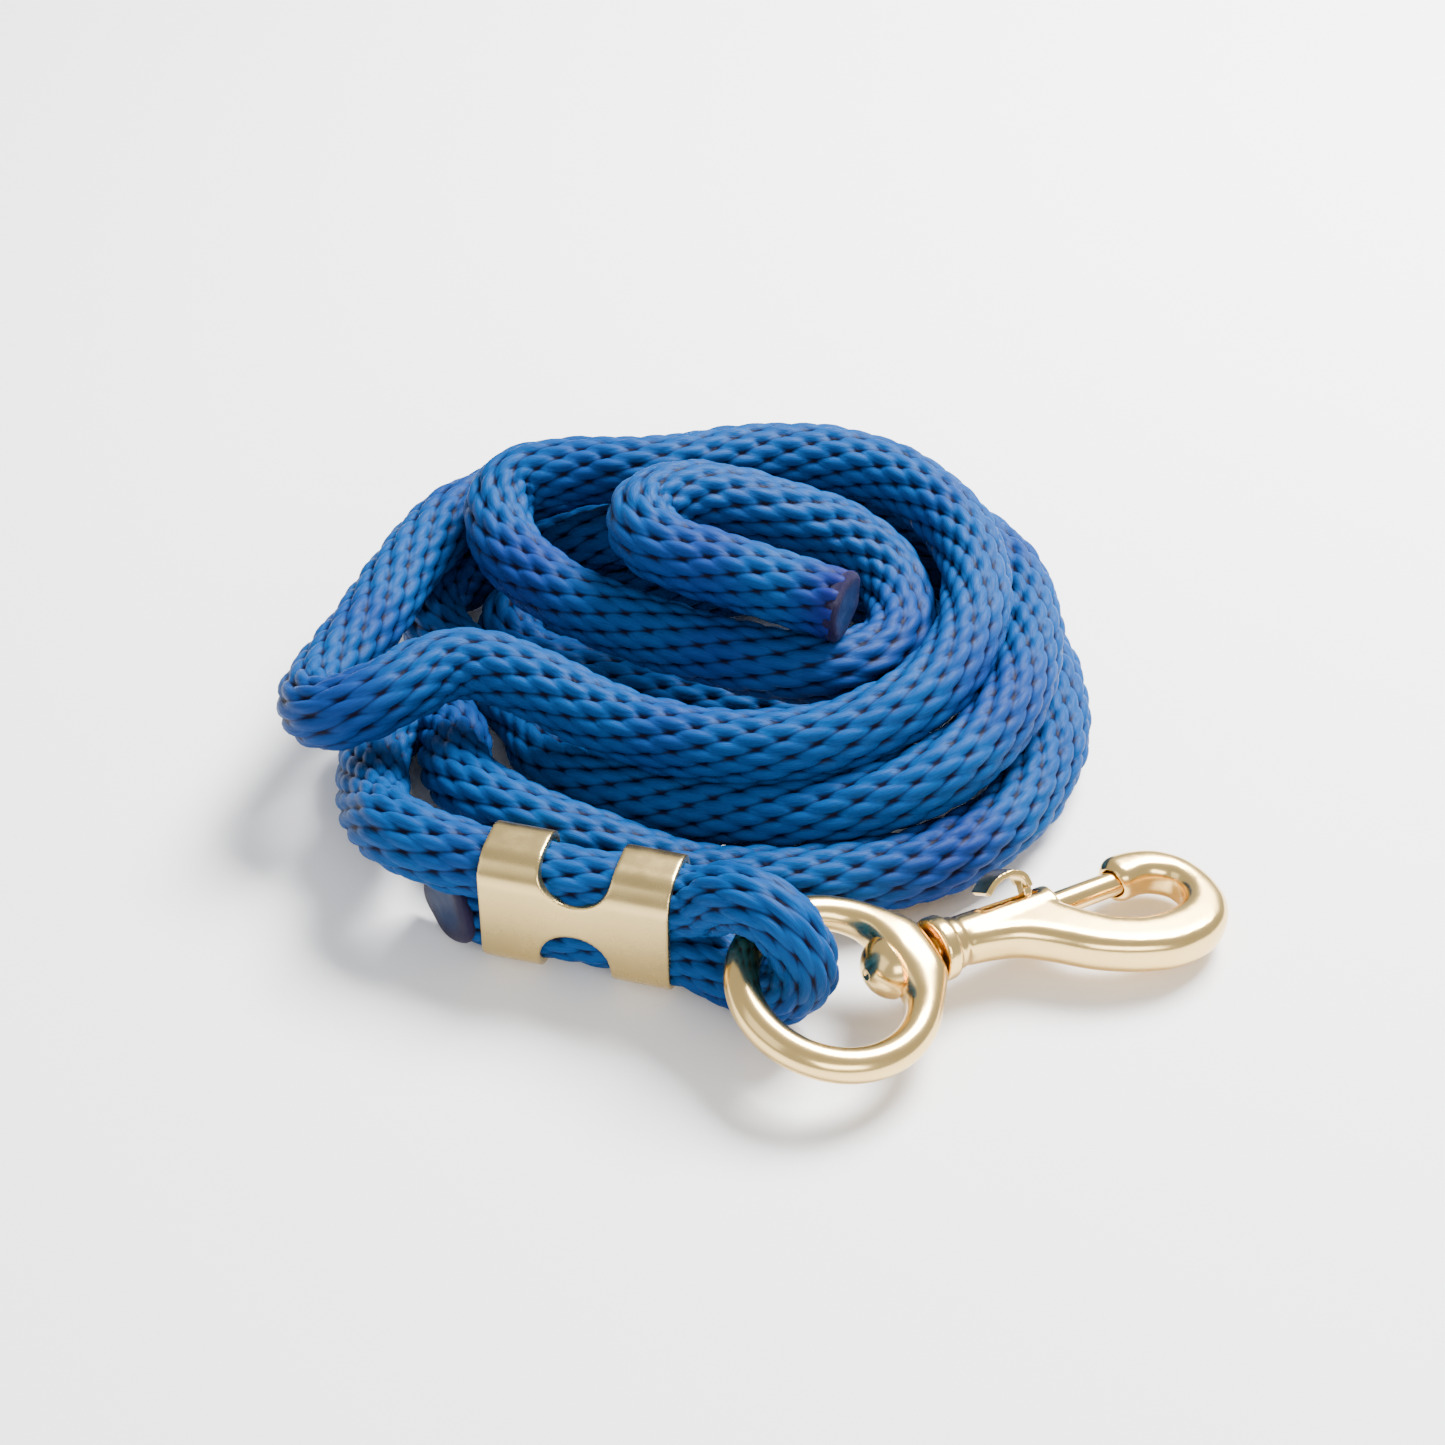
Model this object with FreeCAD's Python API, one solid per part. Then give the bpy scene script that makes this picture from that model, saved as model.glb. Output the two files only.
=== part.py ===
import FreeCAD, Part
import math
import os

# A loose pile of braided lead rope with a brass swivel bolt snap.
# Millimetres, +Z up, +X to the right, -Y towards the snap and the clamp.
# Points are written in a working frame and moved by ORIGIN, so that the
# finished object stands on z = 0 with its box centred on x = y = 0.

V = FreeCAD.Vector
ORIGIN = V(-4.91, 8.25, -0.06)
OUT = "parts"

# ---- rope ----------------------------------------------------------------
ROPE_R = 7.94          # 5/8 in braid
HELD_R = 6.0           # squeezed inside the clamp
EYE_R = 6.8            # stretched round the ring's bar
ARC_SHARE = 0.45       # part of the shorter run that a bend takes up

TAIL = [(-58, -48, 9.4), (-34, -54.4, 8.9), (-8, -61.4, 8.9)]
EYE = [(1.5, -67.2, 7.6), (11, -73.5, 7.2), (17.2, -76.9, 18), (11, -73.5, 29.6), (1.5, -67.1, 28.4)]
LEAD = [(-5, -62.6, 21.6), (-23, -57.4, 21), (-50, -50, 21.1)]
NEAR_TURN = [(-66, -42.5, 22.5), (-71, -29, 15), (-73, -12, 9), (-73.4, 8.3, 8), (-55.2, 8.3, 8),
             (-54.6, -9, 12), (-45, -26, 17), (-27, -37.4, 14), (-5, -43.6, 8)]
FLOOR_LOOP = [(18, -47, 8), (44, -42, 8), (64, -21, 8), (74, 8, 8), (70, 40, 8), (51, 61, 8),
              (24, 66, 8), (0, 58, 8)]
INNER_LOOP = [(-16, 48, 8), (-30, 47, 8), (-39, 39, 8), (-36.5, 29, 8), (-23, 22, 8),
              (3, 12, 8), (22, 9, 8), (40, 16, 8), (48, 32, 8), (40, 47, 11), (20, 49, 20)]
CROSSING = [(-2, 52, 24), (-22, 56.8, 24), (-39, 59.4, 13.7), (-55, 64, 8.5), (-68, 54, 8.5),
            (-67, 38, 8.5), (-53, 24.5, 8), (-38, 10, 8), (-34, -7, 8)]
SECOND_LOOP = [(-25, -19, 8), (-6, -26.9, 11), (22, -33, 15.5), (46, -27, 20.5), (62, -8, 24),
               (67, 18, 24), (65, 42, 24), (50, 62, 24), (24, 73, 24), (-8, 75, 24),
               (-38, 74, 24.5)]
LEFT_HAIRPIN = [(-60, 65, 24.8), (-70, 44, 24.6), (-76, 25, 24), (-81, 12, 23.5), (-84.5, -1, 24),
                (-80, -10, 28), (-70, -10, 32)]
THIRD_LOOP = [(-56, 0, 33), (-40, -5, 31), (-24, -14, 27), (-4, -21, 26), (20, -23, 28),
              (43, -12, 32), (55, 12, 34.5), (54, 40, 36), (38, 60, 39), (12, 65, 40),
              (-16, 57, 40), (-32, 60, 39)]
TOP_LOOP = [(-49.5, 58.5, 37), (-50, 40, 33), (-34, 23, 30), (-8, 9, 29), (20, -1, 29), (38, 8, 28),
            (39, 30, 29), (28, 40, 35)]
TOP_END = [(11, 38, 43), (-6, 40, 47), (-18.5, 32.5, 48), (-15.5, 19.5, 47), (3, 13.5, 46), (25, 3.5, 45)]

STRETCHES = [
    ("rope_tail", TAIL, HELD_R), ("rope_eye", EYE, EYE_R), ("rope_lead", LEAD, HELD_R),
    ("rope_near_turn", NEAR_TURN, ROPE_R), ("rope_floor_loop", FLOOR_LOOP, ROPE_R),
    ("rope_inner_loop", INNER_LOOP, ROPE_R), ("rope_crossing", CROSSING, ROPE_R),
    ("rope_second_loop", SECOND_LOOP, ROPE_R), ("rope_left_hairpin", LEFT_HAIRPIN, ROPE_R),
    ("rope_third_loop", THIRD_LOOP, ROPE_R), ("rope_top_loop", TOP_LOOP, ROPE_R),
    ("rope_top_end", TOP_END, ROPE_R),
]


def rope_corners():
    """Every corner of the rope in order, with the index of its stretch."""
    corners = []
    for index, (name, points, radius) in enumerate(STRETCHES):
        for point in points:
            corners.append((V(*point), index))
    return corners


def bend(before, corner, after):
    """Start, middle and end of the tangent arc at a corner, and its radius."""
    back = before - corner
    ahead = after - corner
    reach = ARC_SHARE * min(back.Length, ahead.Length)
    back.normalize()
    ahead.normalize()
    turn = math.pi - back.getAngle(ahead)
    radius = reach / math.tan(turn / 2)
    inward = back + ahead
    inward.normalize()
    centre = corner + inward * math.hypot(radius, reach)
    middle = centre - inward * radius
    return corner + back * reach, middle, corner + ahead * reach, radius


def chain(points):
    """Straight runs joined by tangent arcs through a few corners."""
    edges = []
    here = points[0]
    for before, point, after in zip(points, points[1:], points[2:]):
        start, middle, end, radius = bend(before, point, after)
        edges.append(Part.makeLine(here, start))
        edges.append(Part.Arc(start, middle, end).toShape())
        here = end
    edges.append(Part.makeLine(here, points[-1]))
    return edges


def rope_edges():
    """The centreline as straight runs and tangent arcs, one list per stretch."""
    corners = rope_corners()
    edges = [[] for stretch in STRETCHES]
    here = corners[0][0]
    tightest = 1e9
    for i in range(1, len(corners) - 1):
        point, stretch = corners[i]
        start, middle, end, radius = bend(corners[i - 1][0], point, corners[i + 1][0])
        tightest = min(tightest, radius)
        if corners[i - 1][1] != stretch:
            joint = (corners[i - 1][0] + point) * 0.5
            edges[stretch - 1].append(Part.makeLine(here, joint))
            here = joint
        edges[stretch].append(Part.makeLine(here, start))
        edges[stretch].append(Part.Arc(start, middle, end).toShape())
        here = end
    edges[-1].append(Part.makeLine(here, corners[-1][0]))
    print("tightest rope bend radius %.1f mm" % tightest)
    return edges


def tube(edges, radius):
    """A round rope of one radius along a chain of edges."""
    wire = Part.Wire(edges)
    start = edges[0].valueAt(edges[0].FirstParameter)
    along = edges[0].tangentAt(edges[0].FirstParameter)
    ring = Part.Wire(Part.makeCircle(radius, start, along))
    solid = wire.makePipeShell([ring], True, False)
    expected = math.pi * radius ** 2 * wire.Length
    print("  length %.0f mm, volume %.4f of section x length" % (wire.Length, solid.Volume / expected))
    return solid


# ---- clamp ---------------------------------------------------------------
CLAMP_MID = V(-27, -56.3, 15.4)     # half way along, between the two legs of rope
CLAMP_AXIS = V(0.966, -0.26, 0)
CLAMP_LENGTH = 38.7
CLAMP_HEIGHT = 28.8
CLAMP_DEPTH = 16.4
CLAMP_CORNER = 6.5
SHEET = 1.9
NOTCH = 14.6                        # width of the upper and lower notches
WEB = 8.2                           # height of the bar that joins the two sides
WEB_RISE = 2.5                      # the bar sits this far above the middle
BACK_GAP = 5.0                      # the arms' ends stop this far apart at the back


def rounded_bar(length, depth, height, corner):
    """A box along X, centred on the origin, with its four long edges rounded."""
    bar = Part.makeBox(length, depth, height, V(-length / 2, -depth / 2, -height / 2))
    long_edges = [e for e in bar.Edges if abs(e.tangentAt(e.FirstParameter).x) > 0.99]
    return bar.makeFillet(corner, long_edges)


def clamp():
    shell = rounded_bar(CLAMP_LENGTH, CLAMP_DEPTH, CLAMP_HEIGHT, CLAMP_CORNER)
    inside = rounded_bar(CLAMP_LENGTH + 2, CLAMP_DEPTH - 2 * SHEET, CLAMP_HEIGHT - 2 * SHEET,
                         CLAMP_CORNER - SHEET)
    shell = shell.cut(inside)
    deep = CLAMP_DEPTH + 2
    for way in (1, -1):
        round_end = Part.makeCylinder(NOTCH / 2, deep, V(0, -deep / 2, 0), V(0, 1, 0))
        rest = Part.makeBox(NOTCH, deep, CLAMP_HEIGHT, V(-NOTCH / 2, -deep / 2, 0))
        if way < 0:
            rest.rotate(V(0, 0, 0), V(1, 0, 0), 180)
        notch = round_end.fuse(rest)
        notch.translate(V(0, 0, WEB_RISE + way * (WEB / 2 + NOTCH / 2)))
        shell = shell.cut(notch)
    back = Part.makeBox(CLAMP_LENGTH + 2, CLAMP_DEPTH, BACK_GAP,
                        V(-CLAMP_LENGTH / 2 - 1, 0, -BACK_GAP / 2))
    middle = Part.makeBox(NOTCH, CLAMP_DEPTH, CLAMP_HEIGHT, V(-NOTCH / 2, 0, -CLAMP_HEIGHT / 2))
    shell = shell.cut(back).cut(middle)
    turn = math.degrees(math.atan2(CLAMP_AXIS.y, CLAMP_AXIS.x))
    shell.rotate(V(0, 0, 0), V(0, 0, 1), turn)
    shell.translate(CLAMP_MID)
    return shell


# ---- snap ----------------------------------------------------------------
# The snap has its own axes: T along it from the ring's centre, S across the
# hook towards the gate, H out of the hook's plane.
RING_MID = V(21.25, -77.8, 14.2)
T = V(0.847, 0.523, -0.095)
T.normalize()
S = V(0, 0, 1).cross(T)
S.normalize()
H = T.cross(S)
RING_ROLL = math.radians(-12)
RING_N = H * math.cos(RING_ROLL) + S * math.sin(RING_ROLL)
RING_R = 18.0
RING_BAR = 3.5

BOSS_OUTLINE = [(22.8, -6.3), (22.8, 6.3), (16.3, 13.6), (12.8, 12.0), (12.0, 8.0),
                (12.0, -8.0), (12.8, -12.0), (16.3, -13.6)]     # T and across
BOSS_THICK = 10.0
STEM_R = 2.8
STEM_HOLE_R = 3.15
HEAD_R = 6.4
HEAD = (7.4, 12.2)                  # dome top and under face along T
POCKET_END = 12.6                   # the boss is hollowed this far round the head
COLLAR = (23.0, 26.2, 28.6)         # start, step, end along T
COLLAR_R = (6.6, 5.4)
BARREL_END = 52.2
BARREL_R = (5.0, 4.6)               # at the collar and at the open end
BORE_R = 2.85
BORE_START = 31.5
SLOT = (36.0, 49.6)                 # for the thumb lever's stem
SLOT_WIDTH = 3.0
HOOK_OUTLINE = [(27, -4.4), (34, -5.6), (40, -7.4), (44.5, -11), (50.5, -16.9), (58, -21.5),
                (66.5, -24.5), (75, -24), (80.8, -21.3), (84.6, -16.5), (86, -9.5), (84.6, -2.4),
                (80, 2.8), (73.5, 5), (67, 5), (67, -3.6), (75, -3.2), (78.4, -6),
                (78.4, -9.6), (76, -12.6), (70.5, -13.8), (64.5, -12.9), (59, -9.8),
                (54.5, -4.5), (50, 2.2), (40, 2.6), (27, 2.6)]     # T and S of the casting's edge
HOOK_THICK = 8.8
HOOK_ROUND = 3.2
BOLT = (45.4, 69.9)
BOLT_R = 2.6
LEVER_STEM = (46.2, 48.2)
LEVER_ROLL = 55.0                   # the lever leans up from S by this many degrees
LEVER_LINE = [(47.2, 6), (46.6, 8.6), (43.5, 10), (39.8, 9.4), (37, 7.2)]  # T and outward
LEVER_WIDTH = 5.6
LEVER_SHEET = 1.3
SPRING_WIRE_R = 0.35
SPRING_R = 1.9
SPRING_TURNS = 8


def at(t, s, h):
    """A point of the snap in the working frame."""
    return RING_MID + T * t + S * s + H * h


def rod(t0, t1, radius, s=0.0, h=0.0):
    """A cylinder along the snap's axis."""
    return Part.makeCylinder(radius, t1 - t0, at(t0, s, h), T)


def block(t0, t1, width, thick, across, out):
    """A box along T with its width along one direction and thickness along another."""
    corner = RING_MID + T * t0 - across * (width / 2) - out * (thick / 2)
    pts = [corner, corner + across * width, corner + across * width + out * thick,
           corner + out * thick, corner]
    return Part.Face(Part.makePolygon(pts)).extrude(T * (t1 - t0))


def plate(outline, across, out, thick):
    """A flat piece with a tangent-arc outline given along T and one more direction."""
    points = [RING_MID + T * t + across * w - out * (thick / 2) for t, w in outline]
    edges = []
    ends = []
    count = len(points)
    for k in range(count):
        start, middle, end, radius = bend(points[k - 1], points[k], points[(k + 1) % count])
        ends.append((start, end))
        edges.append(Part.Arc(start, middle, end).toShape())
        edges.append(None)
    for k in range(count):
        edges[2 * k + 1] = Part.makeLine(ends[k][1], ends[(k + 1) % count][0])
    return Part.Face(Part.Wire(edges)).extrude(out * thick)


def rounded(shape, out, radius):
    """Fillets along the edges of a plate's two flat faces."""
    rims = [e for e in shape.Edges if abs(e.tangentAt(e.FirstParameter).dot(out)) < 0.01]
    return shape.makeFillet(radius, rims)


def swivel_ring():
    ring = Part.makeTorus(RING_R, RING_BAR, RING_MID, RING_N)
    across = RING_N.cross(T)
    across.normalize()
    out = T.cross(across)
    boss = rounded(plate(BOSS_OUTLINE, across, out, BOSS_THICK), out, 2.0)
    hole = rod(POCKET_END - 1, BOSS_OUTLINE[0][0] + 2, STEM_HOLE_R)
    pocket = rod(HEAD[0] - 2, POCKET_END, HEAD_R + 0.4)
    return ring.fuse(boss).cut(hole).cut(pocket)


def swivel_stem():
    """Shaft with a domed, riveted-over head and a small dimple."""
    shaft = rod(HEAD[1], COLLAR[0], STEM_R)
    depth = HEAD[1] - HEAD[0]
    ball_r = (HEAD_R ** 2 + depth ** 2) / (2 * depth)
    ball = Part.makeSphere(ball_r, at(HEAD[0] + ball_r, 0, 0))
    head = ball.common(rod(HEAD[0] - 1, HEAD[1], HEAD_R))
    dimple = Part.makeSphere(1.2, at(HEAD[0] - 0.5, 0, 0))
    return head.fuse(shaft).cut(dimple)


def hook_body():
    body = rod(COLLAR[0], COLLAR[1], COLLAR_R[0])
    body = body.fuse(rod(COLLAR[1], COLLAR[2], COLLAR_R[1]))
    barrel = Part.makeCone(BARREL_R[0], BARREL_R[1], BARREL_END - COLLAR[2], at(COLLAR[2], 0, 0), T)
    body = body.fuse(barrel)
    body = body.fuse(rounded(plate(HOOK_OUTLINE, S, H, HOOK_THICK), H, HOOK_ROUND))
    body = body.cut(rod(BORE_START, BOLT[1] + 0.3, BORE_R))
    out, across = lever_axes()
    slot = block(SLOT[0], SLOT[1], SLOT_WIDTH, 2 * BARREL_R[0] + 2, across, out)
    slot.translate(out * (BARREL_R[0] + 1))
    return body.cut(slot)


def lever_axes():
    """The direction the lever stands in, and the one across it."""
    roll = math.radians(LEVER_ROLL)
    out = S * math.cos(roll) + H * math.sin(roll)
    return out, out.cross(T)


def bolt():
    return rod(BOLT[0], BOLT[1], BOLT_R)


def thumb_tab():
    """A stem through the slot and a curved leaf for the thumb."""
    out, across = lever_axes()
    stem = block(LEVER_STEM[0], LEVER_STEM[1], 2.4, LEVER_LINE[0][1], across, out)
    stem.translate(out * (BOLT_R / 2 + LEVER_LINE[0][1] / 2))
    stem = stem.cut(rod(BOLT[0], BOLT[1], BOLT_R))
    leaf_line = Part.Wire(chain([RING_MID + T * t + out * w for t, w in LEVER_LINE]))
    start = leaf_line.Edges[0].valueAt(leaf_line.Edges[0].FirstParameter)
    along = leaf_line.Edges[0].tangentAt(leaf_line.Edges[0].FirstParameter)
    flat = along.cross(across)
    flat.normalize()
    corner = start - across * (LEVER_WIDTH / 2) - flat * (LEVER_SHEET / 2)
    loop = [corner, corner + across * LEVER_WIDTH,
            corner + across * LEVER_WIDTH + flat * LEVER_SHEET, corner + flat * LEVER_SHEET, corner]
    leaf = leaf_line.makePipeShell([Part.makePolygon(loop)], True, False)
    return stem.fuse(leaf)


def bolt_spring():
    length = BOLT[0] - BORE_START - 0.8
    helix = Part.makeHelix(length / SPRING_TURNS, length, SPRING_R)
    ring = Part.Wire(Part.makeCircle(SPRING_WIRE_R, V(SPRING_R, 0, 0), V(0, 1, 0)))
    coil = Part.Wire(helix).makePipeShell([ring], True, True)
    turn = FreeCAD.Rotation(V(0, 0, 1), T)
    coil.Placement = FreeCAD.Placement(at(BORE_START + 0.4, 0, 0), turn)
    return coil


def write(name, shape):
    shape = shape.copy()
    shape.translate(ORIGIN)
    solids = shape.Solids
    solid = solids[0] if len(solids) == 1 else shape
    box = solid.optimalBoundingBox(False, False)
    print("%-18s solids %d valid %s volume %.0f box %.1f..%.1f %.1f..%.1f %.1f..%.1f" % (
        name, len(solids), solid.isValid(), solid.Volume,
        box.XMin, box.XMax, box.YMin, box.YMax, box.ZMin, box.ZMax))
    solid.exportStep(os.path.join(OUT, name + ".step"))
    return box


os.makedirs(OUT, exist_ok=True)
total = FreeCAD.BoundBox()
for (name, points, radius), edges in zip(STRETCHES, rope_edges()):
    total.add(write(name, tube(edges, radius)))
for name, make in (("rope_clamp", clamp), ("swivel_ring", swivel_ring),
                   ("swivel_stem", swivel_stem), ("hook_body", hook_body), ("bolt", bolt),
                   ("thumb_tab", thumb_tab), ("bolt_spring", bolt_spring)):
    total.add(write(name, make()))
print("whole box x %.2f..%.2f y %.2f..%.2f z %.2f..%.2f" % (
    total.XMin, total.XMax, total.YMin, total.YMax, total.ZMin, total.ZMax))
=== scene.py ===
"""A loose pile of braided lead rope with a folded clamp and a brass swivel bolt snap."""

import math

import bmesh
import bpy
import numpy as np
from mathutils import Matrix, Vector


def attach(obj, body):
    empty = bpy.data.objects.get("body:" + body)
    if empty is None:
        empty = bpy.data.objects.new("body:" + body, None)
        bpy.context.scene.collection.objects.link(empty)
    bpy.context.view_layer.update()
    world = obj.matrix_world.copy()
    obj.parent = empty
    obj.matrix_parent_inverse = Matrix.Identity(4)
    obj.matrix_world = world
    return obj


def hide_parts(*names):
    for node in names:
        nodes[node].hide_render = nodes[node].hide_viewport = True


MM = 0.001
ORIGIN = (-4.91, 8.25, -0.06)      # the working frame's shift into the row frame, mm

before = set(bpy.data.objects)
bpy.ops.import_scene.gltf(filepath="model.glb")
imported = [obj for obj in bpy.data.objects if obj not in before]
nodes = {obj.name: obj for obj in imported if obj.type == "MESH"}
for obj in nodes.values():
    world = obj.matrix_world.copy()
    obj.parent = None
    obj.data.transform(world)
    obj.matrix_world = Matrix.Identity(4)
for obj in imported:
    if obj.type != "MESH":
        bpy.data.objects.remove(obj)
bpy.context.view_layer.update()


def place(point):
    """A point of the working frame, in mm, as a point of the row frame in metres."""
    return tuple((point[k] + ORIGIN[k]) * MM for k in range(3))


# ---- rope route ------------------------------------------------------------
# Control points of one smooth curve, in mm of the working frame. They repeat the CAD rope's
# route, except that some are moved, by 12 mm at most, and the near turn has one more, to lie
# as the real rope does.
TAIL = [(-58, -48, 9.4), (-34, -54.4, 8.9), (-8, -61.4, 8.9)]
EYE = [(1.5, -67.2, 7.6), (11, -73.5, 7.2), (17.2, -76.9, 18), (11, -73.5, 29.6),
       (1.5, -67.1, 28.4)]
LEAD = [(-5, -62.6, 21.6), (-23, -57.4, 21), (-50, -50, 21.1)]
NEAR_TURN = [(-66, -42.5, 22.5), (-71, -29, 15), (-74, -12, 9), (-74.5, 4, 8), (-64.5, 14, 8),
             (-56.5, 3, 8), (-57, -11, 12), (-48.5, -27.5, 16.5), (-27, -37.4, 14),
             (-5, -42.6, 8)]
FLOOR_LOOP = [(18, -43.6, 9), (44, -38.4, 9.5), (63.5, -20, 8.5), (74, 8, 8), (70, 40, 8), (51, 61, 8),
              (24, 66, 8), (0, 58, 8)]
INNER_LOOP = [(-16, 51, 9.5), (-33, 50.5, 9), (-49, 45, 10), (-46, 30, 8), (-25, 22, 8),
              (3, 12, 8), (22, 9, 8), (40, 16, 8), (48, 32, 8), (40, 47, 11), (20, 49, 20)]
CROSSING = [(-2, 52, 24), (-22, 56.8, 24), (-39, 59.4, 16.5), (-55, 64, 8.5), (-66.5, 54, 9),
            (-65.5, 38, 10), (-52, 24.5, 8), (-41, 9.5, 8), (-37, -7, 8)]
SECOND_LOOP = [(-26, -16.5, 10), (-6, -24.6, 12.5), (22, -31.3, 17), (46, -25, 22), (61, -6.5, 24.5),
               (67, 18, 24), (65, 42, 24), (50, 62, 24), (24, 73, 24), (-8, 75, 24),
               (-38, 74, 24.5)]
LEFT_HAIRPIN = [(-60, 65, 24.8), (-70, 44, 24.6), (-76, 25, 24), (-82, 10, 23.5), (-87, -5, 24.5),
                (-82, -14, 28), (-70, -12.5, 32)]
THIRD_LOOP = [(-56, 0, 33), (-40, -5, 31), (-24, -14, 27), (-4, -21, 26), (20, -23, 28),
              (43, -12, 32), (55, 12, 34.5), (54, 40, 36), (38, 60, 39), (12, 65, 40),
              (-16, 57, 40), (-32, 60, 39)]
TOP_LOOP = [(-49.5, 58.5, 37), (-50, 40, 33), (-34, 23, 30), (-8, 9, 29), (20, -1, 29),
            (38, 8, 28), (39, 30, 29), (28, 40, 35)]
TOP_END = [(11, 38, 43), (-6, 40, 47), (-18.5, 32.5, 48), (-15.5, 19.5, 47), (3, 12.6, 45.2),
           (25, 2.3, 44.3)]
ROUTE = (TAIL + EYE + LEAD + NEAR_TURN + FLOOR_LOOP + INNER_LOOP + CROSSING + SECOND_LOOP
         + LEFT_HAIRPIN + THIRD_LOOP + TOP_LOOP + TOP_END)
ROPE_NODES = ["rope_tail", "rope_eye", "rope_lead", "rope_near_turn", "rope_floor_loop",
              "rope_inner_loop", "rope_crossing", "rope_second_loop", "rope_left_hairpin",
              "rope_third_loop", "rope_top_loop", "rope_top_end"]


def new_object(name, mesh):
    obj = bpy.data.objects.new(name, mesh)
    bpy.context.scene.collection.objects.link(obj)
    return obj


def smooth_shade(mesh):
    mesh.polygons.foreach_set("use_smooth", np.ones(len(mesh.polygons), bool))


def spline_points(route):
    """Points of the smooth centreline, read back from a NURBS curve, in metres."""
    curve = bpy.data.curves.new("centreline", "CURVE")
    curve.dimensions = "3D"
    curve.resolution_u = 24
    spline = curve.splines.new("NURBS")
    spline.points.add(len(route) - 1)
    for target, point in zip(spline.points, route):
        target.co = (*place(point), 1)
    spline.order_u = 3
    spline.use_endpoint_u = True
    obj = new_object("centreline", curve)
    mesh = bpy.data.meshes.new_from_object(obj)
    points = np.array([v.co for v in mesh.vertices], float)
    bpy.data.objects.remove(obj)
    return points


class Line:
    """A centreline with even spacing and a frame that doesn't twist."""

    def __init__(self, points, step=0.0005):
        gaps = np.linalg.norm(np.diff(points, axis=0), axis=1)
        keep = np.r_[True, gaps > 1e-9]
        points = points[keep]
        along = np.r_[0, np.cumsum(np.linalg.norm(np.diff(points, axis=0), axis=1))]
        self.length = along[-1]
        self.s = np.linspace(0, self.length, int(self.length / step) + 1)
        self.p = np.stack([np.interp(self.s, along, points[:, k]) for k in range(3)], axis=1)
        t = np.gradient(self.p, axis=0)
        self.t = t / np.linalg.norm(t, axis=1)[:, None]
        n = np.cross(self.t[0], (0, 0, 1.0))
        n /= np.linalg.norm(n)
        normals = [n]
        for k in range(1, len(self.s)):
            n = n - self.t[k] * (n @ self.t[k])
            n = n / np.linalg.norm(n)
            normals.append(n)
        self.n = np.array(normals)
        self.b = np.cross(self.t, self.n)

    def at(self, s):
        """Position and the two sideways directions at distances s along the line."""
        out = []
        for values in (self.p, self.n, self.b):
            out.append(np.stack([np.interp(s, self.s, values[:, k]) for k in range(3)], axis=-1))
        return out


# ---- braid -----------------------------------------------------------------
# A net of small cells runs round the rope (w) and along it (m). The pattern moves back as it
# goes round, so that the net's cells lie in the diamonds of the braid's stitches.
ROPE_D = 0.01588
STITCH_PITCH = 0.0113       # from a stitch to the next one in its row
ROWS = 22                   # half rows round the rope
SHIFT_ROWS = 10             # pitches that the pattern moves back in one turn
CELL = 5                    # mesh cells along each side of a stitch's diamond
AROUND = ROWS * CELL
ROW_GAP = math.pi * ROPE_D / ROWS
LEAN = STITCH_PITCH * SHIFT_ROWS / ROWS
STITCH_HALF = 0.0052        # half of a stitch's length
STITCH_WIDE = 0.00195       # half of its width
STITCH_HIGH = 0.0017        # from the gap up to its crown
STITCH_POWER = 1.8          # 1 is a diamond, 2 is an ellipse
STITCH_SLANT = math.radians(-2.5)
FIBRE_SLANT = math.radians(-10)
UNEVEN = np.array((0.05, 0.08, 0.14))      # how much stitches differ in length, width, height
CHANCES = 4096                             # stitches before their differences repeat
# distance along the rope and the braid's outer radius there: less in the clamp and the eye
SQUEEZE = ((0, 0.0076), (0.006, 0.0075), (0.060, 0.0073), (0.078, 0.0069), (0.098, 0.0069),
           (0.112, 0.0073), (0.125, 0.0075), (0.160, 0.0076), (0.175, ROPE_D / 2))

TAIL_CUT_FACE = np.array((-0.87, -0.48, 0.1))      # the tail is cut slantwise, facing this way
TAIL_CUT_FACE /= np.linalg.norm(TAIL_CUT_FACE)
TAIL_CUT_AT = np.array(place((-55.5, -48.7, 9.3)))
TAIL_REACH = 0.03           # the cut changes nothing farther along the rope than this


def net_distance(w, m):
    """How far along the rope a corner of the net lies."""
    return (STITCH_PITCH * m - LEAN * w) / CELL


def net_cells(length):
    """The four corners of every cell on a rope of this length, as their w and m."""
    steps = int((length + SHIFT_ROWS * STITCH_PITCH) * CELL / STITCH_PITCH) + 3
    w, m = np.meshgrid(np.arange(AROUND), np.arange(-1, steps), indexing="ij")
    w, m = w.ravel(), m.ravel()
    corners_w = np.stack([w, w + 1, w + 2, w + 1], axis=1)
    corners_m = np.stack([m, m, m + 1, m + 1], axis=1)
    s = net_distance(corners_w, corners_m)
    inside = (s.max(axis=1) > 0) & (s.min(axis=1) < length)
    return corners_w[inside], corners_m[inside]


def net_vertices(corners_w, corners_m):
    """The w and m of each vertex, and every cell's corners as vertex numbers."""
    wrapped = corners_w >= AROUND
    own_w = np.where(wrapped, corners_w - AROUND, corners_w)
    own_m = np.where(wrapped, corners_m - SHIFT_ROWS * CELL, corners_m)
    lowest = own_m.min()
    span = own_m.max() - lowest + 1
    key = own_w * span + own_m - lowest
    unique, inverse = np.unique(key.ravel(), return_inverse=True)
    return unique // span, unique % span + lowest, inverse.reshape(-1, 4)


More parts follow.
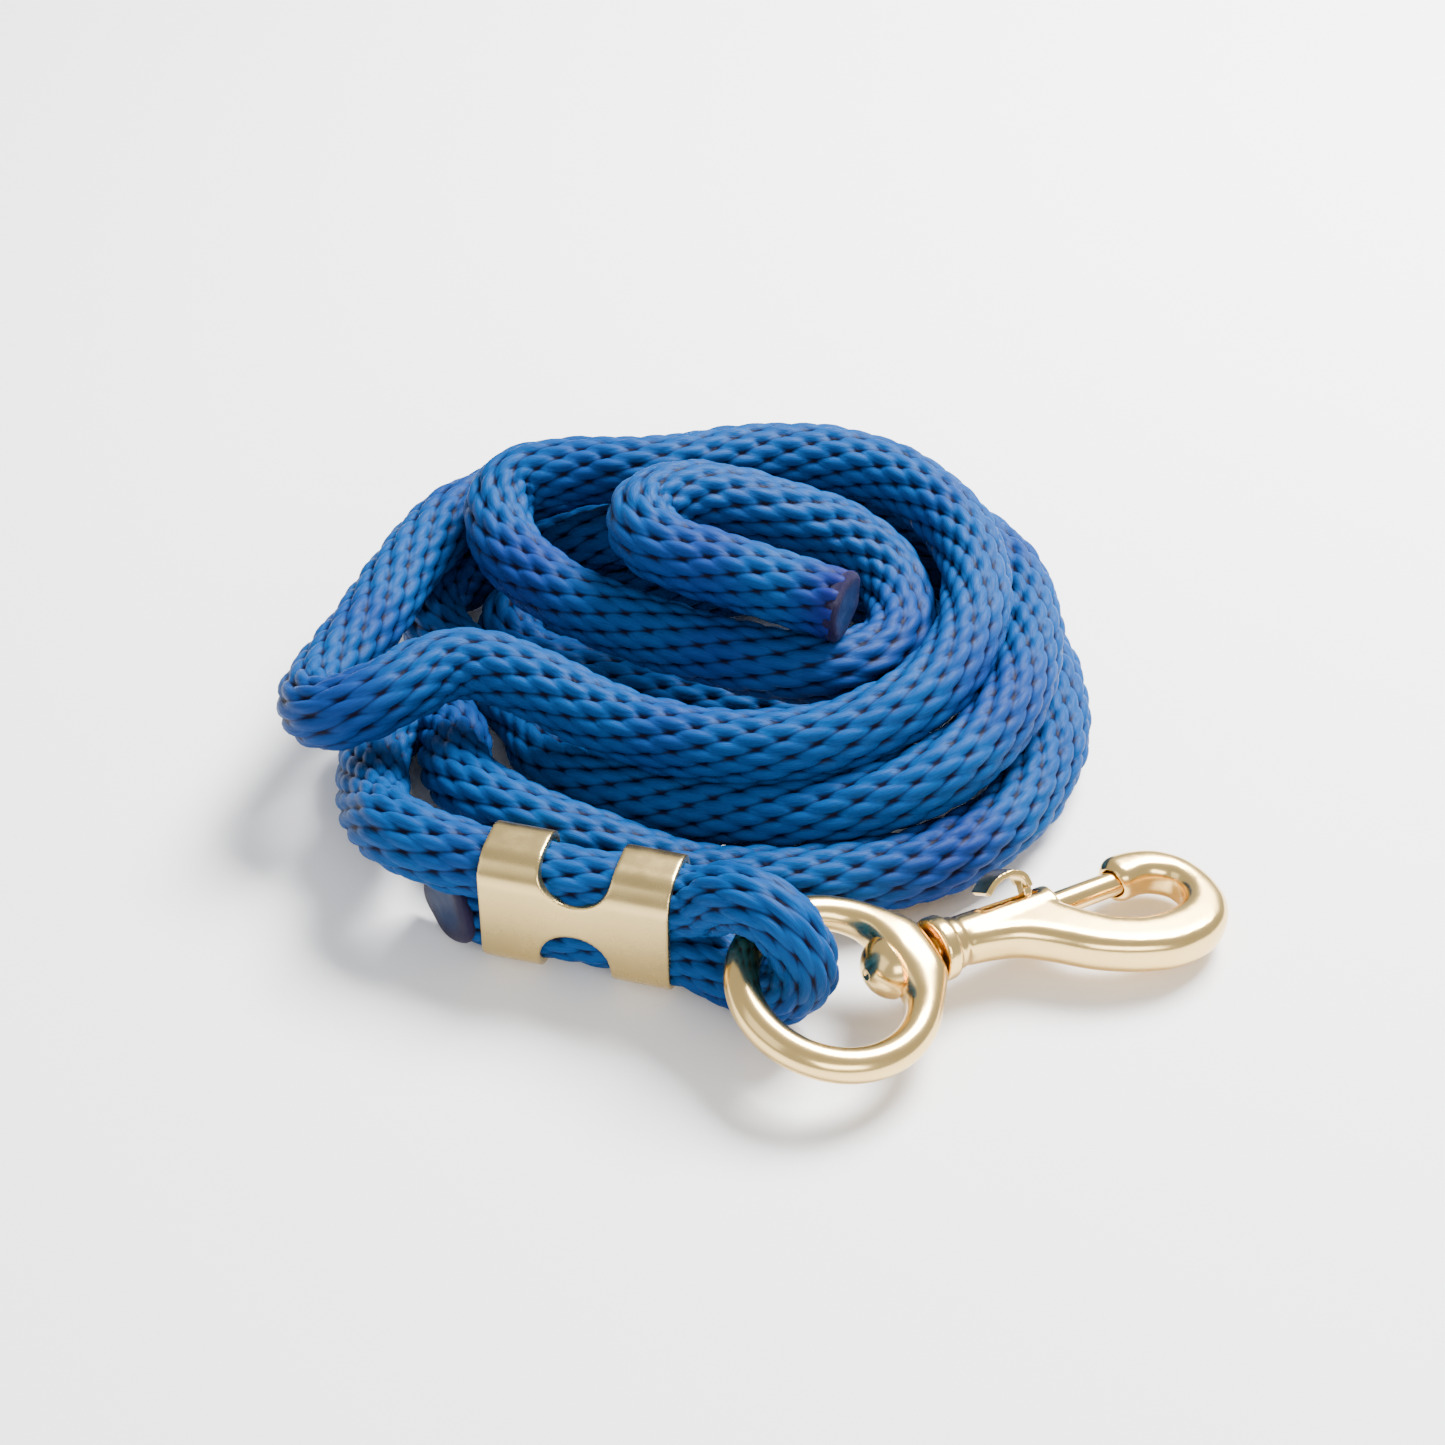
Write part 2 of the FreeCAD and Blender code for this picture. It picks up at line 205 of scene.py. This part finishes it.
def stitch_relief(vert_w, vert_m, odd_ones):
    """Height at each vertex, from 0 in a gap to about 1 on a crown.

    Every stitch is a slanted lens; the surface is the highest of those around a vertex.
    """
    p = (vert_w - vert_m) / CELL
    q = vert_m / CELL
    high = np.zeros(len(p))
    cos_a, sin_a = math.cos(STITCH_SLANT), math.sin(STITCH_SLANT)
    for dp in (-1, 0, 1):
        for dq in (-1, 0, 1):
            cp = np.floor(p) + dp + 0.5
            cq = np.floor(q) + dq + 0.5
            x = STITCH_PITCH * (q - cq) - LEAN * ((p + q) - (cp + cq))
            y = ROW_GAP * ((p + q) - (cp + cq))
            number = np.round(2 * (STITCH_PITCH * cq - LEAN * (cp + cq)) / STITCH_PITCH * ROWS)
            odd = odd_ones[(number.astype(int) * 7919 + 13) % CHANCES]
            u = (x * cos_a + y * sin_a) / (STITCH_HALF * (1 + UNEVEN[0] * odd[:, 0]))
            v = (-x * sin_a + y * cos_a) / (STITCH_WIDE * (1 + UNEVEN[1] * odd[:, 1]))
            lens = np.clip(1 - np.abs(u) ** STITCH_POWER - np.abs(v) ** STITCH_POWER, 0, 1) ** 0.5
            high = np.maximum(high, lens * (1 + UNEVEN[2] * odd[:, 2]))
    return high


def rope_radius(line):
    """The braid's outer radius at every point of the line."""
    distance, radius = zip(*SQUEEZE)
    return np.interp(line.s, distance, radius)


def add_uv(mesh, name, first, second):
    layer = mesh.uv_layers.new(name=name)
    values = np.stack([first, second], axis=-1).astype(np.float32)
    layer.data.foreach_set("uv", values.ravel())


def braid_mesh(name, line):
    """The rope's surface, with the place inside a stitch and on the rope as two UV maps."""
    corners_w, corners_m = net_cells(line.length)
    vert_w, vert_m, faces = net_vertices(corners_w, corners_m)
    odd_ones = np.random.RandomState(11).uniform(-1, 1, (CHANCES, 3))
    s = np.clip(net_distance(vert_w, vert_m), 0, line.length)
    outer = np.interp(s, line.s, rope_radius(line))
    radius = outer - STITCH_HIGH * (1.05 - stitch_relief(vert_w, vert_m, odd_ones))
    centre, side, up = line.at(s)
    angle = 2 * math.pi * vert_w / AROUND
    co = centre + (side * np.cos(angle)[:, None] + up * np.sin(angle)[:, None]) * radius[:, None]
    beyond = np.where(s < TAIL_REACH, (co - TAIL_CUT_AT) @ TAIL_CUT_FACE, -1)
    back_off = np.maximum(beyond, 0) / (-line.t[0] @ TAIL_CUT_FACE)
    co = co + line.t[0] * back_off[:, None]

    mesh = bpy.data.meshes.new(name)
    mesh.from_pydata(co.tolist(), [], faces.tolist())
    corner_p = (corners_w - corners_m) / CELL
    corner_q = corners_m / CELL
    low_p = np.floor(corner_p.mean(axis=1))[:, None]
    low_q = np.floor(corner_q.mean(axis=1))[:, None]
    add_uv(mesh, "stitch", (corner_q - low_q) - (corner_p - low_p),
           (corner_q - low_q) + (corner_p - low_p) - 1)
    add_uv(mesh, "length", net_distance(corners_w, corners_m), corners_w * ROW_GAP / CELL)
    mark = (low_p[:, 0] * 37 + low_q[:, 0] * 101).astype(int) % CHANCES
    tone = mesh.attributes.new("tone", "FLOAT", "FACE")
    tone.data.foreach_set("value", (0.5 + 0.5 * odd_ones[mark, 0]).astype(np.float32))
    smooth_shade(mesh)
    mesh.update()
    print(name, "faces", len(faces), "length", line.length)
    return mesh


# ---- materials -------------------------------------------------------------
class Nodes:
    """A short way to write a material's node tree."""

    def __init__(self, name):
        self.material = bpy.data.materials.new(name)
        self.material.use_nodes = True
        self.tree = self.material.node_tree
        self.shader = self.tree.nodes["Principled BSDF"]

    def add(self, kind, inputs=None, **settings):
        node = self.tree.nodes.new(kind)
        for key, value in settings.items():
            setattr(node, key, value)
        for key, value in (inputs or {}).items():
            if isinstance(value, bpy.types.NodeSocket):
                self.tree.links.new(value, node.inputs[key])
            else:
                node.inputs[key].default_value = value
        return node

    def math(self, operation, a, b=0.0, c=0.0):
        return self.add("ShaderNodeMath", {0: a, 1: b, 2: c}, operation=operation).outputs[0]

    def spread(self, value, low, high, at_low, at_high):
        """A range of values made into another range, and held at its ends."""
        inputs = {0: value, 1: low, 2: high, 3: at_low, 4: at_high}
        return self.add("ShaderNodeMapRange", inputs).outputs[0]

    def mix(self, factor, a, b):
        node = self.add("ShaderNodeMix", data_type="RGBA")
        for index, value in ((0, factor), (6, a), (7, b)):
            if isinstance(value, bpy.types.NodeSocket):
                self.tree.links.new(value, node.inputs[index])
            else:
                node.inputs[index].default_value = value
        return node.outputs[2]

    def set(self, name, value):
        if isinstance(value, bpy.types.NodeSocket):
            self.tree.links.new(value, self.shader.inputs[name])
        else:
            self.shader.inputs[name].default_value = value


def stitch_rim(m):
    """0 in the middle of a stitch's lens and 1 at its edge, as stitch_relief has it."""
    stitch = m.add("ShaderNodeUVMap", uv_map="stitch").outputs[0]
    parts = m.add("ShaderNodeSeparateXYZ", {0: stitch})
    e_long, e_wide = parts.outputs[0], parts.outputs[1]
    x = m.math("MULTIPLY_ADD", e_long, STITCH_PITCH / 2,
               m.math("MULTIPLY", e_wide, STITCH_PITCH * (0.5 - SHIFT_ROWS / ROWS)))
    y = m.math("MULTIPLY", e_wide, ROW_GAP)
    cos_a, sin_a = math.cos(STITCH_SLANT), math.sin(STITCH_SLANT)
    u = m.math("MULTIPLY_ADD", x, cos_a / STITCH_HALF,
               m.math("MULTIPLY", y, sin_a / STITCH_HALF))
    v = m.math("MULTIPLY_ADD", x, -sin_a / STITCH_WIDE,
               m.math("MULTIPLY", y, cos_a / STITCH_WIDE))
    return m.math("ADD", m.math("POWER", m.math("ABSOLUTE", u), STITCH_POWER),
                  m.math("POWER", m.math("ABSOLUTE", v), STITCH_POWER))


def rope_material(end):
    """Blue fibres, painted shade in the gaps between stitches, patches of painted purple shade and
    purple ends; end is the rope's length.
    """
    m = Nodes("blue_braid")
    length = m.add("ShaderNodeUVMap", uv_map="length").outputs[0]
    tone = m.add("ShaderNodeAttribute", attribute_name="tone").outputs["Fac"]
    # gap: 1 where the gaps between stitches get painted shade
    gap = m.spread(stitch_rim(m), 0.58, 1.0, 0.0, 1.0)
    fibre_space = m.add("ShaderNodeMapping", {0: length, 2: (0, 0, FIBRE_SLANT), 3: (380, 5200, 1)})
    fibres = m.add("ShaderNodeTexNoise", {"Vector": fibre_space.outputs[0], "Scale": 1.0,
                                          "Detail": 3.0, "Roughness": 0.6}).outputs["Fac"]
    soft_space = m.add("ShaderNodeMapping", {0: length, 3: (60, 160, 1)})
    soft = m.add("ShaderNodeTexNoise", {"Vector": soft_space.outputs[0], "Scale": 1.0,
                                        "Detail": 2.0}).outputs["Fac"]
    light = m.mix(tone, (0.0, 0.031, 0.130, 1), (0.0, 0.045, 0.175, 1))
    light = m.mix(m.math("MULTIPLY", soft, 0.5), light, (0.0, 0.020, 0.115, 1))
    strands = m.spread(fibres, 0.35, 0.7, 0.0, 0.6)
    light = m.mix(strands, light, (0.0, 0.073, 0.245, 1))
    # Patches of painted purple shade at random places along the rope, and purple near both ends.
    patch_space = m.add("ShaderNodeMapping", {0: length, 3: (22, 9, 1)})
    patches = m.add("ShaderNodeTexNoise", {"Vector": patch_space.outputs[0], "Scale": 1.0,
                                           "Detail": 1.0}).outputs["Fac"]
    painted_shade_and_ends = m.spread(patches, 0.52, 0.72, 0.0, 0.55)
    along = m.add("ShaderNodeSeparateXYZ", {0: length}).outputs[0]
    near_end = m.spread(along, end - 0.012, end - 0.002, 0.0, 0.9)
    near_tail = m.spread(along, 0.004, 0.012, 0.8, 0.0)
    painted_shade_and_ends = m.math("MAXIMUM", painted_shade_and_ends, m.math("MAXIMUM", near_end, near_tail))
    light = m.mix(painted_shade_and_ends, light, (0.006, 0.009, 0.110, 1))
    # The gaps between stitches are painted near black: painted shade in the creases.
    colour = m.mix(gap, light, (0.001, 0.001, 0.014, 1))
    m.set("Base Color", colour)
    m.set("Roughness", m.spread(fibres, 0.3, 0.7, 0.60, 0.42))
    m.set("Specular IOR Level", 0.08)
    bump = m.add("ShaderNodeBump", {"Strength": 0.6, "Distance": 0.00014, "Height": fibres})
    m.set("Normal", bump.outputs[0])
    return m.material


def melt_material():
    m = Nodes("melted_end")
    noise = m.add("ShaderNodeTexNoise", {"Scale": 900.0, "Detail": 4.0}).outputs["Fac"]
    rim = m.add("ShaderNodeAttribute", attribute_name="rim").outputs["Fac"]
    middle = m.mix(noise, (0.001, 0.004, 0.045, 1), (0.0, 0.040, 0.160, 1))
    edge = m.mix(noise, (0.004, 0.002, 0.022, 1), (0.014, 0.006, 0.060, 1))
    m.set("Base Color", m.mix(rim, middle, edge))
    m.set("Roughness", 0.42)
    m.set("Specular IOR Level", 0.25)
    bump = m.add("ShaderNodeBump", {"Strength": 0.8, "Distance": 0.0005, "Height": noise})
    m.set("Normal", bump.outputs[0])
    return m.material


def brass_material(name, colour, warm, roughness, grain):
    m = Nodes(name)
    place_in = m.add("ShaderNodeTexCoord").outputs["Object"]
    broad = m.add("ShaderNodeTexNoise", {"Vector": place_in, "Scale": 90.0, "Detail": 3.0})
    fine_space = m.add("ShaderNodeMapping", {0: place_in, 3: grain})
    fine = m.add("ShaderNodeTexNoise", {"Vector": fine_space.outputs[0], "Scale": 1.0,
                                        "Detail": 4.0, "Roughness": 0.65})
    m.set("Base Color", m.mix(broad.outputs["Fac"], colour, warm))
    m.set("Metallic", 1.0)
    rough = m.spread(fine.outputs["Fac"], 0.3, 0.7, roughness * 0.9, roughness * 1.15)
    m.set("Roughness", rough)
    bump = m.add("ShaderNodeBump", {"Strength": 0.12, "Distance": 0.00003,
                                    "Height": fine.outputs["Fac"]})
    m.set("Normal", bump.outputs[0])
    return m.material


def steel_material():
    m = Nodes("spring_wire")
    noise = m.add("ShaderNodeTexNoise", {"Scale": 600.0, "Detail": 2.0}).outputs["Fac"]
    m.set("Base Color", m.mix(noise, (0.45, 0.45, 0.46, 1), (0.6, 0.6, 0.6, 1)))
    m.set("Metallic", 1.0)
    m.set("Roughness", 0.3)
    return m.material


line = Line(spline_points(ROUTE))
blue = rope_material(line.length)
melt = melt_material()
snap_brass = brass_material("snap_brass", (0.88, 0.62, 0.24, 1), (0.84, 0.57, 0.20, 1), 0.20,
                            (300, 300, 300))
clamp_brass = brass_material("clamp_brass", (0.68, 0.50, 0.21, 1), (0.64, 0.46, 0.18, 1), 0.26,
                             (200, 200, 200))
steel = steel_material()


def paint(obj, material):
    obj.data.materials.clear()
    obj.data.materials.append(material)


# ---- rope ------------------------------------------------------------------
rope = new_object("braided_rope", braid_mesh("braided_rope", line))
paint(rope, blue)
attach(rope, "rope")
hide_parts(*ROPE_NODES)


def cut_end(name, centre, outward, radius, seed, face):
    """The rope's end, cut hot: a low uneven dome of melted plastic with a rolled rim."""
    around = 48
    rng = np.random.RandomState(seed)
    phases = rng.uniform(0, 2 * math.pi, 6)
    outward = Vector(outward).normalized()
    face = Vector(face).normalized()
    side = outward.orthogonal().normalized()
    up = outward.cross(side)
    bm = bmesh.new()
    rows = []
    # share of the radius, and how far out of the cut in mm
    profile = [(0.0, 0.9), (0.25, 0.95), (0.5, 0.85), (0.72, 0.95), (0.86, 1.0), (0.94, 0.8),
               (1.0, 0.35), (1.02, -0.1), (1.01, -0.8), (0.96, -1.6), (0.80, -2.6)]
    for share, out in profile:
        row = []
        for k in range(around):
            a = 2 * math.pi * k / around
            wave = sum(math.sin((j + 2) * a + phases[j]) / (j + 2) for j in range(6))
            r = radius * share * (1 + 0.03 * wave * share)
            lift = out * MM + 0.00035 * wave * share
            sideways = side * (r * math.cos(a)) + up * (r * math.sin(a))
            lift -= sideways.dot(face) / outward.dot(face)
            point = Vector(centre) + outward * lift + sideways
            row.append(bm.verts.new(point))
        rows.append(row)
    for low, high in zip(rows, rows[1:]):
        for k in range(around):
            j = (k + 1) % around
            bm.faces.new((low[k], low[j], high[j], high[k]))
    bmesh.ops.remove_doubles(bm, verts=bm.verts, dist=1e-7)
    bm.faces.new(rows[-1])
    bmesh.ops.recalc_face_normals(bm, faces=bm.faces)
    mesh = bpy.data.meshes.new(name)
    bm.to_mesh(mesh)
    bm.free()
    smooth_shade(mesh)
    rim = mesh.attributes.new("rim", "FLOAT", "POINT")
    away = [(v.co - Vector(centre)).cross(outward).length / radius for v in mesh.vertices]
    rim.data.foreach_set("value", [min(max((x - 0.6) / 0.25, 0), 1) for x in away])
    obj = new_object(name, mesh)
    paint(obj, melt)
    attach(obj, "rope")
    return obj


tail_cap = cut_end("cut_end_tail", TAIL_CUT_AT, -line.t[0], 0.0076, 3, TAIL_CUT_FACE)
free_cap = cut_end("cut_end_free", line.p[-1], line.t[-1], 0.0074, 5, line.t[-1])


# ---- brass -----------------------------------------------------------------
def cast_copy(name, source, body, material, voxel, passes):
    """A CAD node as a casting: its hard corners melt into small fillets, more with more passes."""
    obj = new_object(name, nodes[source].data.copy())
    remesh = obj.modifiers.new("remesh", "REMESH")
    remesh.mode = "VOXEL"
    remesh.voxel_size = voxel
    remesh.use_smooth_shade = True
    smooth = obj.modifiers.new("smooth", "SMOOTH")
    smooth.factor = 0.5
    smooth.iterations = passes
    depsgraph = bpy.context.evaluated_depsgraph_get()
    mesh = bpy.data.meshes.new_from_object(obj.evaluated_get(depsgraph))
    obj.modifiers.clear()
    obj.data = mesh
    paint(obj, material)
    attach(obj, body)
    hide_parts(source)
    return obj


# The ring's place and sizes follow the CAD ring, in mm of the working frame.
RING_MID = (21.25, -77.8, 14.2)
SNAP_AXIS = (0.847, 0.523, -0.095)
RING_ROLL = math.radians(-12)
RING_IN, RING_OUT = 14.5, 21.5          # mm from the ring's middle
BAR_HALF = 3.5
BOSS_IN, BOSS_OUT = 12.1, 22.8          # the boss's two flat faces
BOSS_EXTRA = 1.9                        # the boss is this much higher than the bar, each side
BOSS_SPREAD = math.radians(58)          # where the boss has died out into the bar
INNER_SPREAD = math.radians(75)
OUTER_SPREAD = math.radians(40)


def soft_least(a, b, sharpness):
    """The smaller of two sizes, with a rounded change from one to the other."""
    return (a ** -sharpness + b ** -sharpness) ** (-1 / sharpness)


def ring_section(off):
    """Inner and outer edge, half height and squareness of the ring, off from its boss."""
    inner, outer = RING_IN, RING_OUT
    if off < INNER_SPREAD:
        inner = soft_least(RING_IN, BOSS_IN / math.cos(off), 24)
    if off < OUTER_SPREAD:
        shoulder = RING_OUT / math.cos(OUTER_SPREAD - off)
        outer = max(RING_OUT, soft_least(BOSS_OUT / math.cos(off), shoulder, 30))
    swell = max(0.0, 1 - off / BOSS_SPREAD)
    half_high = BAR_HALF + BOSS_EXTRA * swell * swell * (3 - 2 * swell)
    return inner, outer, half_high, 2 + 0.8 * swell


def swivel_ring():
    """The ring's bar swept round, swelling into the boss that holds the swivel."""
    mid = Vector(place(RING_MID))
    along = Vector(SNAP_AXIS).normalized()
    flat = Vector((0, 0, 1)).cross(along).normalized()
    normal = along.cross(flat) * math.cos(RING_ROLL) + flat * math.sin(RING_ROLL)
    across = normal.cross(along)
    steps, sides = 240, 48
    verts, faces = [], []
    for i in range(steps):
        angle = 2 * math.pi * i / steps
        off = abs(math.remainder(angle, 2 * math.pi))
        inner, outer, half_high, square = ring_section(off)
        radial = Vector(along * math.cos(angle) + across * math.sin(angle))
        for j in range(sides):
            turn = 2 * math.pi * j / sides
            c, d = math.cos(turn), math.sin(turn)
            x = math.copysign(abs(c) ** (2 / square), c) * (outer - inner) / 2 + (outer + inner) / 2
            y = math.copysign(abs(d) ** (2 / square), d) * half_high
            verts.append(mid + (radial * x + normal * y) * MM)
            k = (i + 1) % steps * sides
            n = (j + 1) % sides
            faces.append((i * sides + j, k + j, k + n, i * sides + n))
    mesh = bpy.data.meshes.new("ring_casting")
    mesh.from_pydata(verts, [], faces)
    smooth_shade(mesh)
    bm = bmesh.new()
    bm.from_mesh(mesh)
    bmesh.ops.recalc_face_normals(bm, faces=bm.faces)
    bmesh.ops.smooth_vert(bm, verts=bm.verts, factor=0.5,
                          use_axis_x=True, use_axis_y=True, use_axis_z=True)
    bm.to_mesh(mesh)
    bm.free()
    obj = new_object("ring_casting", mesh)
    paint(obj, snap_brass)
    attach(obj, "ring")
    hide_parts("swivel_ring")
    return obj


cast_copy("hook_casting", "hook_body", "snap", snap_brass, 0.0003, 24)
swivel_ring()
cast_copy("rivet_stem", "swivel_stem", "snap", snap_brass, 0.0002, 5)
cast_copy("thumb_lever", "thumb_tab", "gate", snap_brass, 0.0002, 5)
cast_copy("clamp_plate", "rope_clamp", "rope", clamp_brass, 0.00025, 10)
for name, material in (("bolt", snap_brass), ("bolt_spring", steel)):
    nodes[name].data.materials.clear()
    nodes[name].data.materials.append(material)
    smooth_shade(nodes[name].data)

# ---- stage -----------------------------------------------------------------
bm = bmesh.new()
bmesh.ops.create_grid(bm, x_segments=8, y_segments=8, size=3.0)
floor_mesh = bpy.data.meshes.new("floor")
bm.to_mesh(floor_mesh)
bm.free()
floor = new_object("floor", floor_mesh)
floor.location.z = -0.0001
paper = Nodes("pale_floor")
paper.set("Base Color", (0.93, 0.93, 0.93, 1))
paper.set("Roughness", 0.9)
floor_mesh.materials.append(paper.material)

world = bpy.data.worlds.new("studio")
bpy.context.scene.world = world
world.use_nodes = True
world.node_tree.nodes["Background"].inputs[0].default_value = (0.95, 0.97, 1.0, 1)
world.node_tree.nodes["Background"].inputs[1].default_value = 0.7


def softbox(name, where, aim, size, power):
    data = bpy.data.lights.new(name, "AREA")
    data.shape = "RECTANGLE"
    data.size = size[0]
    data.size_y = size[1]
    data.energy = power
    obj = bpy.data.objects.new(name, data)
    bpy.context.scene.collection.objects.link(obj)
    obj.location = where
    obj.rotation_euler = (Vector(aim) - Vector(where)).to_track_quat("-Z", "Y").to_euler()


softbox("key", (0.36, 0.40, 0.72), (0, 0, 0), (0.45, 0.45), 42)
softbox("fill", (-0.7, -0.5, 0.6), (0, 0, 0), (0.7, 0.7), 2)
softbox("front", (0.3, -0.8, 0.45), (0, -0.03, 0), (0.6, 0.3), 5)

# ---- camera ----------------------------------------------------------------
CAMERA_TILT = math.radians(40)
CAMERA_FAR = 0.575
LENS = 67.3
aim = Vector(place((0, 0, 15)))
data = bpy.data.cameras.new("camera")
data.lens = LENS
data.sensor_width = 36
camera = bpy.data.objects.new("camera", data)
bpy.context.scene.collection.objects.link(camera)
camera.location = aim + Vector((0, -math.cos(CAMERA_TILT), math.sin(CAMERA_TILT))) * CAMERA_FAR
camera.rotation_euler = (math.pi / 2 - CAMERA_TILT, 0, 0)
bpy.context.scene.camera = camera
